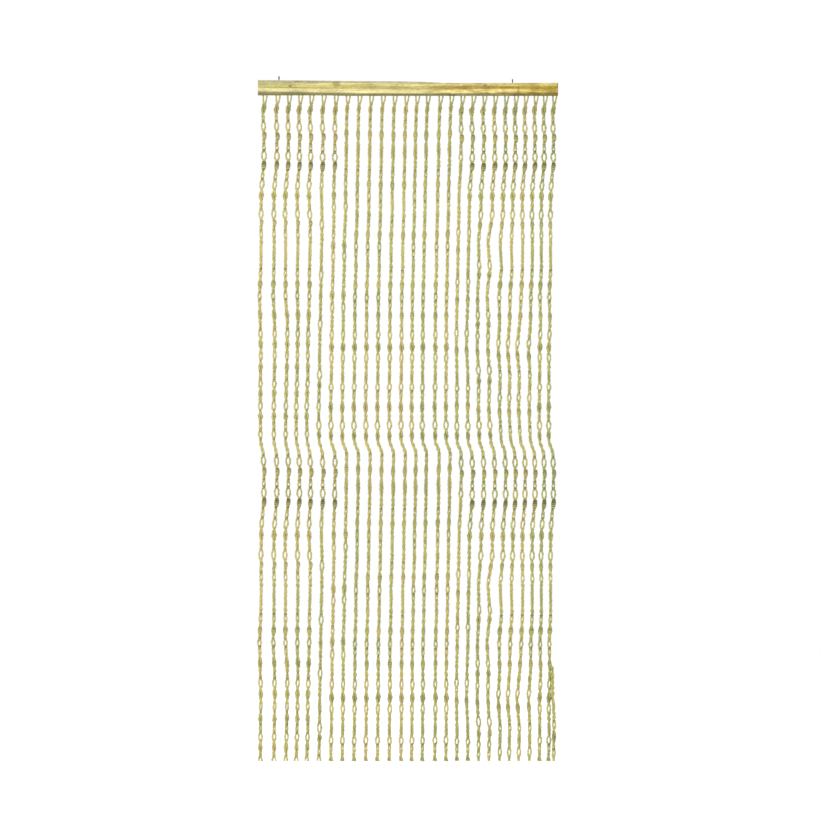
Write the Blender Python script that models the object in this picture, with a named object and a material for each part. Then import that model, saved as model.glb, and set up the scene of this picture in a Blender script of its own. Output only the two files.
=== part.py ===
"""A door string curtain: 27 husk strands of knots and open eyes on a moulded wooden batten.

Metres, +Z up. X runs along the batten, the front faces -Y. The origin is on the hang line,
the level at which two hooks carry the screw eyes, at the middle of the batten.
"""
import math

import bmesh
import bpy


def table(columns, rows):
    """A short table as a list of rows with named columns."""
    return [dict(zip(columns, row)) for row in rows]


# Batten
BATTEN_LENGTH = 0.900
BATTEN_DEPTH = 0.018
BATTEN_FOOT = -0.052
BACK_CHAMFER = 0.0012
GROOVE_LEVEL = 0.0225
GROOVE_DEPTH = 0.0018
GROOVE_HALF_WIDTH = 0.0018
BEAD_LEVEL = 0.0135
BEAD_RADIUS = 0.0070
BEAD_FLATNESS = 0.45
BEAD_ANGLES = (60, 30, 0, -30, -60)
FACE_SETBACK = 0.0008
FOOT_SETBACK = 0.0050

# Height of the batten above its foot along its length
HEIGHTS = table(("x", "height"), (
    (-0.450, 0.0447),
    (-0.234, 0.0426),
    (-0.024, 0.0405),
    (0.036, 0.0396),
    (0.111, 0.0360),
    (0.276, 0.0360),
    (0.450, 0.0366),
))

# Root tape in the batten's underside
TAPE_WIDTH = 0.0050
TAPE_HEIGHT = 0.0030
TAPE_END_MARGIN = 0.004
TAPE_PARTING_STRAND = 14
CLEARANCE = 0.0003

# Screw eyes
WIRE_RADIUS = 0.0013
RING_RADIUS = 0.0050
RING_STEPS = 12
RING_SWEEP = math.radians(318)
SHANK_IN_WOOD = 0.014
SCREW_EYES = table(("name", "x", "neck", "turn"), (
    ("screw_eye_left", -0.387, 0.0010, math.radians(12)),
    ("screw_eye_right", 0.3135, 0.0004, math.radians(-6)),
))

# Strands
STRAND_COUNT = 27
STRAND_LENGTH = 1.997
REPEAT_START = 0.997
REPEAT_STRETCH = 1.072
CORD_RADIUS = 0.0025
ROOT_CORD_RADIUS = 0.0020
SHANK_HALF_WIDTH = 0.0042
DEPTH_SHARE = 0.90
SHARED_NECK_GAP = 0.040
ROOT_NECK_DROP = 0.021
ROOT_LEFT = -0.0024
ROOT_RIGHT = 0.0078
LEAST_END = 0.010

# Where the strands leave the batten, numbered from the left; the rest lie evenly between
PLACES = table(("number", "x"), (
    (1, -0.4335),
    (2, -0.3945),
    (3, -0.3600),
    (5, -0.2931),
    (7, -0.2193),
    (13, -0.0078),
    (15, 0.0564),
    (16, 0.0942),
    (20, 0.2262),
    (22, 0.2913),
    (25, 0.3798),
    (27, 0.4353),
))

# How the strands hang: a drift to the left, a slow sway, and a quicker one where they are loose
DRIFTS = table(("number", "drift"), (
    (1, -0.0095),
    (8, -0.0140),
    (17, -0.0140),
    (20, -0.0170),
    (25, -0.0180),
    (26, -0.0135),
    (27, -0.0135),
))
DRIFT_SHARES = table(("drop", "share"), (
    (0.00, 0.00),
    (0.12, 0.10),
    (0.40, 0.50),
    (0.62, 0.78),
    (0.92, 1.00),
    (1.02, 0.94),
    (1.11, 0.38),
    (1.22, 0.27),
    (1.40, 0.50),
    (1.62, 0.78),
    (1.92, 1.00),
    (2.00, 1.00),
))
SWAY = 0.0012
SWAY_WAVE = 0.47
SWAY_EASE = 0.10
GOLDEN_ANGLE = math.radians(137.5)
LOOSE_SWAY = 0.0030
LOOSE_WAVE = 0.172
LOOSE_STRETCHES = table(("first", "last", "top", "foot"), (
    (4, 7, 0.28, 0.71),
    (22, 26, 0.43, 1.06),
    (4, 7, 1.28, 1.71),
    (22, 26, 1.43, 1.94),
))

# Knots and eyes from the batten's foot down, over one repeat of the strand
KNOT_COLUMNS = ("kind", "drop", "length", "width", "aside")
OUTER_TOP = table(KNOT_COLUMNS, (
    ("knot", 0.044, 0.034, 0.0156, 0.0),
    ("eye", 0.0965, 0.026, 0.0168, 0.0),
    ("knot", 0.1265, 0.024, 0.0138, 0.0020),
    ("eye", 0.185, 0.028, 0.0176, 0.0),
    ("knot", 0.2125, 0.026, 0.0148, 0.0010),
))
OUTER_WAIST = table(KNOT_COLUMNS, (
    ("eye", 0.270, 0.026, 0.0160, 0.0),
    ("knot", 0.3025, 0.028, 0.0154, 0.0),
))
LEFT_FOOT = table(KNOT_COLUMNS, (
    ("eye", 0.3575, 0.026, 0.0162, 0.0),
    ("knot", 0.568, 0.022, 0.0156, 0.0),
    ("knot", 0.6585, 0.034, 0.0142, 0.0),
    ("eye", 0.7155, 0.022, 0.0150, 0.0),
    ("knot", 0.745, 0.026, 0.0150, 0.0),
    ("knot", 0.814, 0.024, 0.0146, 0.0),
    ("eye", 0.8655, 0.020, 0.0150, 0.0),
    ("knot", 0.8945, 0.026, 0.0146, 0.0),
    ("eye", 0.9325, 0.024, 0.0150, 0.0),
    ("knot", 0.9635, 0.024, 0.0146, 0.0),
    ("eye", 1.016, 0.020, 0.0150, 0.0),
))
LOOSE_LEFT_FOOT = table(KNOT_COLUMNS, (
    ("eye", 0.388, 0.026, 0.0150, 0.0),
    ("eye", 0.538, 0.026, 0.0156, 0.0),
    ("eye", 0.687, 0.026, 0.0156, 0.0),
    ("eye", 0.839, 0.028, 0.0170, 0.0),
    ("knot", 0.869, 0.024, 0.0142, 0.0),
    ("eye", 0.989, 0.026, 0.0170, 0.0),
    ("knot", 1.019, 0.026, 0.0130, 0.0),
))
SIDE_WAIST = table(KNOT_COLUMNS, (
    ("knot", 0.3015, 0.024, 0.0140, 0.0),
    ("eye", 0.336, 0.020, 0.0142, 0.0),
    ("knot", 0.4515, 0.030, 0.0148, 0.0),
    ("eye", 0.4835, 0.022, 0.0146, 0.0),
    ("knot", 0.599, 0.030, 0.0148, 0.0),
    ("eye", 0.636, 0.022, 0.0146, 0.0),
))
MIDDLE_TOP = table(KNOT_COLUMNS, (
    ("knot", 0.043, 0.030, 0.0120, 0.0),
    ("knot", 0.119, 0.026, 0.0138, 0.0),
))
MIDDLE_WAIST = table(KNOT_COLUMNS, (
    ("knot", 0.269, 0.024, 0.0140, 0.0),
    ("knot", 0.4195, 0.024, 0.0140, 0.0),
    ("knot", 0.571, 0.024, 0.0142, 0.0),
    ("knot", 0.6625, 0.026, 0.0138, 0.0),
))
INNER_RIGHT_FOOT = table(KNOT_COLUMNS, (
    ("eye", 0.410, 0.024, 0.0140, 0.0),
    ("knot", 0.465, 0.022, 0.0130, 0.0),
    ("knot", 0.616, 0.024, 0.0130, 0.0),
    ("eye", 0.714, 0.024, 0.0146, 0.0),
    ("knot", 0.767, 0.024, 0.0140, 0.0),
    ("eye", 0.880, 0.022, 0.0152, 0.0),
    ("knot", 0.934, 0.026, 0.0142, 0.0),
    ("eye", 0.992, 0.026, 0.0172, 0.0),
    ("knot", 1.022, 0.026, 0.0130, 0.0),
))
CROWDED_FOOT = table(KNOT_COLUMNS, (
    ("eye", 0.3575, 0.026, 0.0162, 0.0),
    ("knot", 0.390, 0.022, 0.0132, 0.0),
    ("eye", 0.5085, 0.024, 0.0146, 0.0),
    ("knot", 0.538, 0.024, 0.0138, 0.0),
    ("eye", 0.659, 0.022, 0.0146, 0.0),
    ("knot", 0.688, 0.022, 0.0140, 0.0),
    ("eye", 0.7225, 0.020, 0.0138, 0.0),
    ("knot", 0.771, 0.026, 0.0136, 0.0),
    ("eye", 0.824, 0.026, 0.0166, 0.0),
    ("knot", 0.857, 0.026, 0.0142, 0.0),
    ("eye", 0.888, 0.018, 0.0138, 0.0),
    ("knot", 0.945, 0.030, 0.0130, 0.0),
    ("eye", 0.990, 0.026, 0.0172, 0.0),
    ("knot", 1.020, 0.026, 0.0130, 0.0),
))
RIGHT_WAIST = table(KNOT_COLUMNS, (
    ("eye", 0.3575, 0.026, 0.0162, 0.0),
    ("knot", 0.388, 0.018, 0.0130, 0.0),
    ("knot", 0.570, 0.024, 0.0156, 0.0),
    ("knot", 0.664, 0.024, 0.0138, 0.0),
))
LOOSE_RIGHT_FOOT = table(KNOT_COLUMNS, (
    ("eye", 0.743, 0.022, 0.0150, 0.0),
    ("knot", 0.784, 0.026, 0.0142, 0.0),
    ("eye", 0.908, 0.022, 0.0144, 0.0),
    ("knot", 0.952, 0.026, 0.0142, 0.0),
))
PLAIN_FOOT = table(KNOT_COLUMNS, (
    ("knot", 0.756, 0.028, 0.0150, 0.0),
    ("knot", 0.7875, 0.022, 0.0142, 0.0),
    ("eye", 0.876, 0.022, 0.0156, 0.0),
    ("knot", 0.936, 0.034, 0.0142, 0.0),
    ("eye", 0.990, 0.026, 0.0172, 0.0),
    ("knot", 1.021, 0.028, 0.0130, 0.0),
))

# A loose end held by the last strand's lowest big knot: where it hangs beside that strand
LOOSE_END = STRAND_COUNT + 1
LOOSE_END_HALF_WIDTH = 0.0036
LOOSE_END_LINE = table(("drop", "right", "back"), (
    (1.703, 0.0, 0.0),
    (1.722, 0.0080, -0.0045),
    (1.790, 0.0100, -0.0045),
    (1.835, 0.0140, -0.0035),
    (1.879, 0.0150, -0.0024),
    (2.000, 0.0150, -0.0020),
))
LOOSE_END_KNOTS = table(KNOT_COLUMNS, (
    ("eye", 1.889, 0.020, 0.0130, 0.0),
    ("knot", 1.923, 0.040, 0.0128, 0.0),
    ("eye", 1.973, 0.018, 0.0130, 0.0),
))

# Which strands carry which rows
PATTERNS = table(("first", "last", "rows"), (
    (1, 7, OUTER_TOP),
    (1, 6, OUTER_WAIST),
    (1, 5, LEFT_FOOT),
    (6, 6, LOOSE_LEFT_FOOT),
    (7, 8, SIDE_WAIST),
    (8, 17, MIDDLE_TOP),
    (9, 17, MIDDLE_WAIST),
    (7, 17, PLAIN_FOOT),
    (18, 27, OUTER_TOP),
    (18, 27, OUTER_WAIST),
    (18, 19, INNER_RIGHT_FOOT),
    (20, 21, CROWDED_FOOT),
    (22, 27, RIGHT_WAIST),
    (22, 25, LOOSE_RIGHT_FOOT),
    (26, 27, PLAIN_FOOT),
))

# How much lower than its pattern a strand's first knots sit; this fades out down the repeat
LAGS = table(("number", "lag"), (
    (1, -0.0045),
    (4, -0.0020),
    (7, 0.0006),
    (8, -0.0045),
    (12, 0.0026),
    (15, 0.0002),
    (17, -0.0050),
    (18, 0.0030),
    (27, 0.0018),
))
LAG_REACH = 0.75


def clear_scene():
    """Remove every object that the scene holds."""
    for item in list(bpy.data.objects):
        bpy.data.objects.remove(item, do_unlink=True)


def make_material(name, colour, roughness, metallic=0.0):
    """A plain material in the part's own colour."""
    material = bpy.data.materials.new(name)
    material.use_nodes = True
    shader = material.node_tree.nodes["Principled BSDF"]
    shader.inputs["Base Color"].default_value = (*colour, 1.0)
    shader.inputs["Roughness"].default_value = roughness
    shader.inputs["Metallic"].default_value = metallic
    return material


def add_object(name, bm, collection, material=None):
    """Close a bmesh into a named object of the collection."""
    bmesh.ops.recalc_face_normals(bm, faces=bm.faces[:])
    mesh = bpy.data.meshes.new(name)
    bm.to_mesh(mesh)
    bm.free()
    if material:
        mesh.materials.append(material)
    item = bpy.data.objects.new(name, mesh)
    collection.objects.link(item)
    return item


def add_cutter(name, size, centre, collection):
    """A box that cuts, kept out of the finished part."""
    bm = bmesh.new()
    bmesh.ops.create_cube(bm, size=1.0)
    bmesh.ops.scale(bm, vec=size, verts=bm.verts[:])
    bmesh.ops.translate(bm, vec=centre, verts=bm.verts[:])
    return hide_cutter(add_object(name, bm, collection))


def hide_cutter(item):
    """Mark an object as a cutter."""
    item.hide_render = True
    item.display_type = "WIRE"
    return item


def add_boolean(item, operation, other):
    """Cut or join one object with another."""
    modifier = item.modifiers.new(operation.title(), "BOOLEAN")
    modifier.operation = operation
    modifier.solver = "EXACT"
    modifier.object = other


def between(rows, given, wanted, value):
    """Straight-line value of one column of a table at a value of another."""
    for low, high in zip(rows, rows[1:]):
        if value <= high[given]:
            share = (value - low[given]) / (high[given] - low[given])
            return low[wanted] + (high[wanted] - low[wanted]) * share
    return rows[-1][wanted]


def smooth(share):
    """An eased share from 0 to 1."""
    share = min(1.0, max(0.0, share))
    return share * share * (3 - 2 * share)


def batten_top(x):
    """Level of the batten's top edge at X along it."""
    return BATTEN_FOOT + between(HEIGHTS, "x", "height", x)


def strand_place(number):
    """Where along the batten a strand hangs."""
    return between(PLACES, "number", "x", number)


def batten_profile(height):
    """Outline of the batten's section as (y, z) above its foot, from the back foot round."""
    back = BATTEN_DEPTH / 2
    front = -back
    face = front + FACE_SETBACK
    bead = []
    for degrees in BEAD_ANGLES:
        angle = math.radians(degrees)
        setback = BEAD_RADIUS * (1 - math.cos(angle)) * BEAD_FLATNESS
        bead.append((front + setback, BEAD_LEVEL + BEAD_RADIUS * math.sin(angle)))
    return [
        (back - BACK_CHAMFER, 0.0),
        (back, BACK_CHAMFER),
        (back, height - BACK_CHAMFER),
        (back - BACK_CHAMFER, height),
        (face + BACK_CHAMFER, height),
        (face, height - BACK_CHAMFER),
        (face, GROOVE_LEVEL + GROOVE_HALF_WIDTH),
        (face + GROOVE_DEPTH, GROOVE_LEVEL),
        *bead,
        (front + FOOT_SETBACK, 0.0),
    ]


def make_batten(parts, cutters, material):
    """The moulded batten, tapering to the right, with its groove and two screw holes."""
    bm = bmesh.new()
    sections = []
    for row in HEIGHTS:
        outline = batten_profile(row["height"])
        sections.append([bm.verts.new((row["x"], y, BATTEN_FOOT + z)) for y, z in outline])
    count = len(sections[0])
    for near, far in zip(sections, sections[1:]):
        for i in range(count):
            j = (i + 1) % count
            bm.faces.new((near[i], near[j], far[j], far[i]))
    bm.faces.new(sections[0])
    bm.faces.new(sections[-1])
    batten = add_object("headrail", bm, parts, material)

    slot_length = BATTEN_LENGTH - 2 * TAPE_END_MARGIN + 2 * CLEARANCE
    slot_width = TAPE_WIDTH + 2 * CLEARANCE
    slot_depth = TAPE_HEIGHT + 2 * CLEARANCE
    slot = add_cutter("slot_cutter", (slot_length, slot_width, 2 * slot_depth),
                      (0.0, 0.0, BATTEN_FOOT), cutters)
    add_boolean(batten, "DIFFERENCE", slot)
    for eye in SCREW_EYES:
        depth = 2 * (SHANK_IN_WOOD + CLEARANCE)
        hole = bmesh.new()
        bmesh.ops.create_cone(hole, cap_ends=True, segments=8, depth=depth,
                              radius1=WIRE_RADIUS + 2 * CLEARANCE,
                              radius2=WIRE_RADIUS + 2 * CLEARANCE)
        bmesh.ops.translate(hole, vec=(eye["x"], 0.0, batten_top(eye["x"])),
                            verts=hole.verts[:])
        cutter = hide_cutter(add_object(eye["name"] + "_hole", hole, cutters))
        add_boolean(batten, "DIFFERENCE", cutter)
    return batten


def make_screw_eye(eye, parts, material):
    """One bent-wire screw eye, its shank in the batten's top edge."""
    ring_centre = eye["neck"] + WIRE_RADIUS + RING_RADIUS
    points = [(0.0, -SHANK_IN_WOOD), (0.0, ring_centre - RING_RADIUS)]
    for step in range(1, RING_STEPS + 1):
        angle = -math.pi / 2 + RING_SWEEP * step / RING_STEPS
        points.append((RING_RADIUS * math.cos(angle),
                       ring_centre + RING_RADIUS * math.sin(angle)))
    curve = bpy.data.curves.new(eye["name"], "CURVE")
    curve.dimensions = "3D"
    curve.bevel_depth = WIRE_RADIUS
    curve.bevel_resolution = 2
    curve.use_fill_caps = True
    spline = curve.splines.new("POLY")
    spline.points.add(len(points) - 1)
    for point, (out, up) in zip(spline.points, points):
        point.co = (0.0, out, up, 1.0)
    curve.materials.append(material)
    item = bpy.data.objects.new(eye["name"], curve)
    item.location = (eye["x"], 0.0, batten_top(eye["x"]))
    item.rotation_euler = (0.0, 0.0, eye["turn"])
    parts.objects.link(item)
    return item


def strand_line(number, drop):
    """Where strand NUMBER's middle hangs at DROP below the batten's foot, as (x, y)."""
    if number == LOOSE_END:
        x, y = strand_line(STRAND_COUNT, drop)
        return (x + between(LOOSE_END_LINE, "drop", "right", drop),
                y + between(LOOSE_END_LINE, "drop", "back", drop))
    phase = number * GOLDEN_ANGLE
    ease = min(1.0, max(0.0, drop / SWAY_EASE))
    turn = 2 * math.pi * drop / SWAY_WAVE + phase
    x = strand_place(number)
    x += between(DRIFTS, "number", "drift", number) * between(DRIFT_SHARES, "drop", "share", drop)
    x += SWAY * ease * math.sin(turn)
    y = SWAY * ease * math.cos(turn)
    for loose in LOOSE_STRETCHES:
        inside = loose["top"] < drop < loose["foot"]
        if inside and loose["first"] <= number <= loose["last"]:
            share = (drop - loose["top"]) / (loose["foot"] - loose["top"])
            swing = LOOSE_SWAY * math.sin(math.pi * share)
            x += swing * math.sin(2 * math.pi * drop / LOOSE_WAVE + phase)
    return x, y


def knot_drop(number, drop):
    """Where a strand's knot sits that its pattern puts at DROP."""
    return drop + between(LAGS, "number", "lag", number) * (1 - smooth(drop / LAG_REACH))


def strand_knots(number):
    """The knots and eyes of one strand over its whole length, as named rows."""
    first = [{**knot, "drop": knot_drop(number, knot["drop"])} for pattern in PATTERNS
             if pattern["first"] <= number <= pattern["last"] for knot in pattern["rows"]]
    first.sort(key=lambda knot: knot["drop"])
    again = [{**knot, "drop": REPEAT_START + REPEAT_STRETCH * knot["drop"],
              "length": REPEAT_STRETCH * knot["length"]} for knot in first[1:]]
    return first + again


def add_stations(stations, knots):
    """Carry a strand's stations on over its knots and eyes, down to its cut end."""
    _, start, half_width, _ = stations[-1]
    last = STRAND_LENGTH - LEAST_END
    foot = start
    end_half_width = half_width
    for knot in knots:
        top = knot["drop"] - knot["length"] / 2
        below = knot["drop"] + knot["length"] / 2
        if below > last:
            if knot["kind"] == "knot" and top < last:
                stations.append(("neck", foot, half_width, 0.0))
                end_half_width = knot["width"] / 2
                foot = top
            break
        two_eyes = stations[-1][0] == knot["kind"] == "eye"
        if two_eyes or top - foot > SHARED_NECK_GAP:
            stations.append(("neck", foot, half_width, 0.0))
            stations.append(("neck", top, half_width, 0.0))
        elif foot > start:
            stations.append(("neck", (foot + top) / 2, half_width, 0.0))
        stations.append((knot["kind"], knot["drop"], knot["width"] / 2, knot["aside"]))
        foot = below
    stations.append(("neck", foot, half_width, 0.0))
    stations.append(("neck", STRAND_LENGTH, end_half_width, 0.0))
    return stations


def strand_stations(number):
    """Necks, knots and eyes from the root neck, or from the held knot, to the cut end."""
    if number == LOOSE_END:
        top = LOOSE_END_KNOTS[0]["drop"] - LOOSE_END_KNOTS[0]["length"] / 2
        bends = [("neck", bend["drop"], LOOSE_END_HALF_WIDTH, 0.0)
                 for bend in LOOSE_END_LINE if bend["drop"] <= top]
        return add_stations(bends, LOOSE_END_KNOTS)
    return add_stations([("neck", ROOT_NECK_DROP, SHANK_HALF_WIDTH, 0.0)],
                        strand_knots(number))


def add_ring(bm, number, drop, half_width, aside=0.0):
    """A strand's four-cornered section: its left, front, right and back corners."""
    x, y = strand_line(number, drop)
    z = BATTEN_FOOT - drop
    half_depth = half_width * DEPTH_SHARE
    return [
        bm.verts.new((x + aside - half_width, y, z)),
        bm.verts.new((x + aside, y - half_depth, z)),
        bm.verts.new((x + aside + half_width, y, z)),
        bm.verts.new((x + aside, y + half_depth, z)),
    ]


def join_rings(bm, upper, lower):
    """Walls between two matching sections."""
    count = len(upper)
    for i in range(count):
        j = (i + 1) % count
        bm.faces.new((upper[i], upper[j], lower[j], lower[i]))


def cord_section(bm, x, y, z, side, radius):
    """Three corners of one cord of a pair: the outer one and the two towards the gap."""
    return [
        bm.verts.new((x + side * radius, y, z)),
        bm.verts.new((x - side * radius, y - radius, z)),
        bm.verts.new((x - side * radius, y + radius, z)),
    ]


def half_of(ring, side):
    """The half of a four-cornered section that one cord of the pair grows from."""
    left, front, right, back = ring
    return [left if side < 0 else right, front, back]


def add_eye(bm, upper, lower, number, drop, half_width):
    """Two cords that part below one section and meet again at the next."""
    x, y = strand_line(number, drop)
    z = BATTEN_FOOT - drop
    for side in (-1, 1):
        middle = cord_section(bm, x + side * (half_width - CORD_RADIUS), y, z, side,
                              CORD_RADIUS)
        join_rings(bm, half_of(upper, side), middle)
        join_rings(bm, middle, half_of(lower, side))


def add_root(bm, neck, number):
    """The two cords that rise from the first neck into the root tape."""
    x, y = strand_line(number, 0.0)
    z = BATTEN_FOOT + CLEARANCE + TAPE_HEIGHT / 2
    for side, offset in ((-1, ROOT_LEFT), (1, ROOT_RIGHT)):
        top = cord_section(bm, x + offset, y, z, side, ROOT_CORD_RADIUS)
        join_rings(bm, top, half_of(neck, side))
        bm.faces.new(top)


def add_strand(bm, number):
    """One whole strand, a closed skin over its necks, knots and eyes."""
    stations = strand_stations(number)
    _, drop, half_width, aside = stations[0]
    upper = add_ring(bm, number, drop, half_width, aside)
    if number == LOOSE_END:
        bm.faces.new(upper)
    else:
        add_root(bm, upper, number)
    waiting = None
    for kind, drop, half_width, aside in stations[1:]:
        if kind == "eye":
            waiting = (drop, half_width)
            continue
        lower = add_ring(bm, number, drop, half_width, aside)
        if waiting:
            add_eye(bm, upper, lower, number, *waiting)
            waiting = None
        else:
            join_rings(bm, upper, lower)
        upper = lower
    bm.faces.new(upper)


def make_strands(name, numbers, tape_start, tape_end, parts, cutters, material):
    """The strands of one length of root tape, fused to it."""
    bm = bmesh.new()
    for number in numbers:
        add_strand(bm, number)
    bmesh.ops.triangulate(bm, faces=bm.faces[:])
    hanging = hide_cutter(add_object(name + "_hanging", bm, cutters))

    tape = bmesh.new()
    bmesh.ops.create_cube(tape, size=1.0)
    size = (tape_end - tape_start, TAPE_WIDTH, TAPE_HEIGHT)
    bmesh.ops.scale(tape, vec=size, verts=tape.verts[:])
    centre = ((tape_start + tape_end) / 2, 0.0, BATTEN_FOOT + CLEARANCE + TAPE_HEIGHT / 2)
    bmesh.ops.translate(tape, vec=centre, verts=tape.verts[:])
    strands = add_object(name, tape, parts, material)
    add_boolean(strands, "UNION", hanging)
    if STRAND_COUNT in numbers:
        bm = bmesh.new()
        add_strand(bm, LOOSE_END)
        bmesh.ops.triangulate(bm, faces=bm.faces[:])
        loose_end = hide_cutter(add_object("loose_end", bm, cutters))
        add_boolean(strands, "UNION", loose_end)
    return strands


def make_curtain():
    """Build every sub-part of the curtain."""
    clear_scene()
    scene = bpy.context.scene
    parts = bpy.data.collections.new("string_curtain")
    cutters = bpy.data.collections.new("cutters")
    scene.collection.children.link(parts)
    scene.collection.children.link(cutters)

    wood = make_material("varnished_pine", (0.66, 0.52, 0.20), 0.40)
    steel = make_material("dark_steel", (0.16, 0.16, 0.16), 0.35, 0.9)
    husk = make_material("dry_husk", (0.46, 0.43, 0.22), 0.75)

    make_batten(parts, cutters, wood)
    for eye in SCREW_EYES:
        make_screw_eye(eye, parts, steel)

    near = strand_place(TAPE_PARTING_STRAND) + ROOT_RIGHT
    far = strand_place(TAPE_PARTING_STRAND + 1) + ROOT_LEFT
    parting = (near + far) / 2
    end = BATTEN_LENGTH / 2 - TAPE_END_MARGIN
    make_strands("strands_left", range(1, TAPE_PARTING_STRAND + 1),
                 -end, parting - CLEARANCE / 2, parts, cutters, husk)
    make_strands("strands_right", range(TAPE_PARTING_STRAND + 1, STRAND_COUNT + 1),
                 parting + CLEARANCE / 2, end, parts, cutters, husk)


make_curtain()
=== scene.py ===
"""The door string curtain as it looks: husk cords in knots and eyes under a grained batten.

Metres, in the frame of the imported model. X runs along the batten, the front faces -Y,
and a drop is a distance below the batten's foot.
"""
import math
import random

import bmesh
import bpy
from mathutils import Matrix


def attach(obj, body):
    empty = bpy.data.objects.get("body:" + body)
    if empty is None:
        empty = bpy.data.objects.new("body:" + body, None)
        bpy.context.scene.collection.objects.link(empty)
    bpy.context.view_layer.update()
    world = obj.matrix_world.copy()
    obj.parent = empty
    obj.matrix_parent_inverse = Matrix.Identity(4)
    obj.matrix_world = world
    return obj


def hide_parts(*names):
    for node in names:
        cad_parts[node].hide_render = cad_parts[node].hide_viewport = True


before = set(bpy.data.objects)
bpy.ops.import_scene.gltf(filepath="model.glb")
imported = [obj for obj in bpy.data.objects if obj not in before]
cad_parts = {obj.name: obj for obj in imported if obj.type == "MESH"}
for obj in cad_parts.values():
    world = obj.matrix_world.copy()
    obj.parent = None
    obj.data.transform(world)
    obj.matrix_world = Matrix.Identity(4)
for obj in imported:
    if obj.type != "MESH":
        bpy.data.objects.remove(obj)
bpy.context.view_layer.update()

# In a metre
MILLIMETRES = 1000


def table(columns, rows):
    """A short table as a list of rows with named columns."""
    return [dict(zip(columns, row)) for row in rows]


def knots(*rows):
    """A table of knots, eyes, beads and ties. A row has its kind, its drop, length and width
    in millimetres, its darkness of painted shade, and if it isn't 0 how many millimetres it hangs
    to the right."""
    return [{"kind": kind, "drop": drop / MILLIMETRES, "length": length / MILLIMETRES,
             "width": width / MILLIMETRES, "dark": dark, "aside": sum(aside) / MILLIMETRES}
            for kind, drop, length, width, dark, *aside in rows]


# Batten
BATTEN_LENGTH = 0.900
BATTEN_DEPTH = 0.018
BATTEN_FOOT = -0.052
BACK_CHAMFER = 0.0012
GROOVE_LEVEL = 0.0225
GROOVE_DEPTH = 0.0018
GROOVE_HALF_WIDTH = 0.0018
GROOVE_ROUND = (0.8, 0.4)
BEAD_LEVEL = 0.0135
BEAD_RADIUS = 0.0070
BEAD_FLATNESS = 0.45
BEAD_HALF_SWEEP = 60
BEAD_STEP = 10
EDGE_EASE = 0.00036
FACE_SETBACK = 0.0008
FOOT_SETBACK = 0.0050
BATTEN_STEP = 0.006
SLOT_END_STEP = 0.0001

# Shallow waves that a hand plane leaves in the batten's faces
BATTEN_SEED = 7
HAND_PLANED = 0.00016
PLANED_WAVES = 24
PLANED_LENGTHS = (0.02, 0.16)
PLANED_PHASES = (0, 6.28)

# Height of the batten above its foot along its length
HEIGHTS = table(("x", "height"), (
    (-0.450, 0.0447), (-0.234, 0.0426), (-0.024, 0.0405), (0.036, 0.0396), (0.111, 0.0360),
    (0.276, 0.0360), (0.450, 0.0366),
))

# Darker knots and patches in the batten's face
WOOD_KNOTS = table(("x", "z", "length", "height", "depth"), (
    (-0.3530, -0.0255, 0.009, 0.0055, 0.75), (-0.3320, -0.0120, 0.011, 0.0030, 0.65),
    (-0.2850, -0.0165, 0.030, 0.0030, 0.45), (-0.2150, -0.0190, 0.016, 0.0150, 0.62),
    (0.2310, -0.0235, 0.010, 0.0060, 0.80), (0.2370, -0.0460, 0.012, 0.0045, 0.75),
    (0.2880, -0.0460, 0.011, 0.0045, 0.75), (0.3310, -0.0350, 0.004, 0.0180, 0.60),
    (0.3690, -0.0460, 0.015, 0.0045, 0.70), (0.4485, -0.0230, 0.005, 0.0130, 0.75),
))

# How far the bands of painted shade and painted highlight on the batten's face rise, and the front
# of the foot sinks, along the batten
PAINTED_BAND_RISES = table(("x", "rise"), (
    (-0.450, 0.0028), (-0.330, 0.0022), (-0.200, 0.0), (-0.120, -0.0012), (0.170, -0.0012),
    (0.200, 0.0), (0.450, 0.0),
))
FOOT_LIPS = table(("x", "sink"), (
    (-0.450, 0.0004), (-0.240, 0.0010), (-0.190, 0.0026), (0.450, 0.0026),
))

# Root tape in the batten's underside
TAPE_WIDTH = 0.0050
TAPE_HEIGHT = 0.0030
TAPE_END_MARGIN = 0.004
TAPE_PARTING_STRAND = 14
TAPE_PARTING_ASIDE = 0.0027
TAPE_EDGE = 0.0006
TAPE_STEP = 0.004
TAPE_RIPPLE = 0.0002
TAPE_RIPPLE_WAVE = 0.031
CLEARANCE = 0.0003

# Screw eyes
WIRE_RADIUS = 0.0013
WIRE_SIDES = 14
RING_RADIUS = 0.0050
RING_STEPS = 40
RING_SWEEP = math.radians(318)
SHANK_IN_WOOD = 0.014
SHANK_STEPS = 24
SHANK_POINT = 0.25
SHANK_POINT_STEPS = 6
THREAD_DEPTH = 0.16
THREAD_STEPS = 1.5
SCREW_EYES = table(("name", "x", "neck", "turn"), (
    ("screw_eye_left", -0.387, 0.0010, math.radians(12)),
    ("screw_eye_right", 0.3135, 0.0004, math.radians(-6)),
))

# Strands
STRAND_SEED = 1000
STRAND_TINTS = (0.18, 0.52)
STRAND_COUNT = 27
STRAND_LENGTH = 1.997
REPEAT_START = 0.997
REPEAT_STRETCH = 1.072
ROOT_NECK_DROP = 0.0235
CORD_RADIUS = 0.0031
PARTING_SHARE = 0.86
HALF_TURN = 0.021
CORD_STEP = 0.003
CORD_SIDES = 8
CORD_FLATNESS = 0.74
CORD_ROLL = 0.024

# Thicker and thinner lengths of a cord
LONG_LUMP = 0.10
LONG_LUMP_WAVE = 0.047
SHORT_LUMP = 0.07
SHORT_LUMP_WAVE = 0.0173

# Where the strands leave the batten, numbered from the left; the rest lie evenly between
PLACES = table(("number", "x"), (
    (1, -0.4335), (2, -0.3945), (3, -0.3600), (5, -0.2931), (7, -0.2193), (13, -0.0078),
    (15, 0.0564), (16, 0.0942), (20, 0.2262), (22, 0.2913), (25, 0.3798), (27, 0.4353),
))

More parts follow.
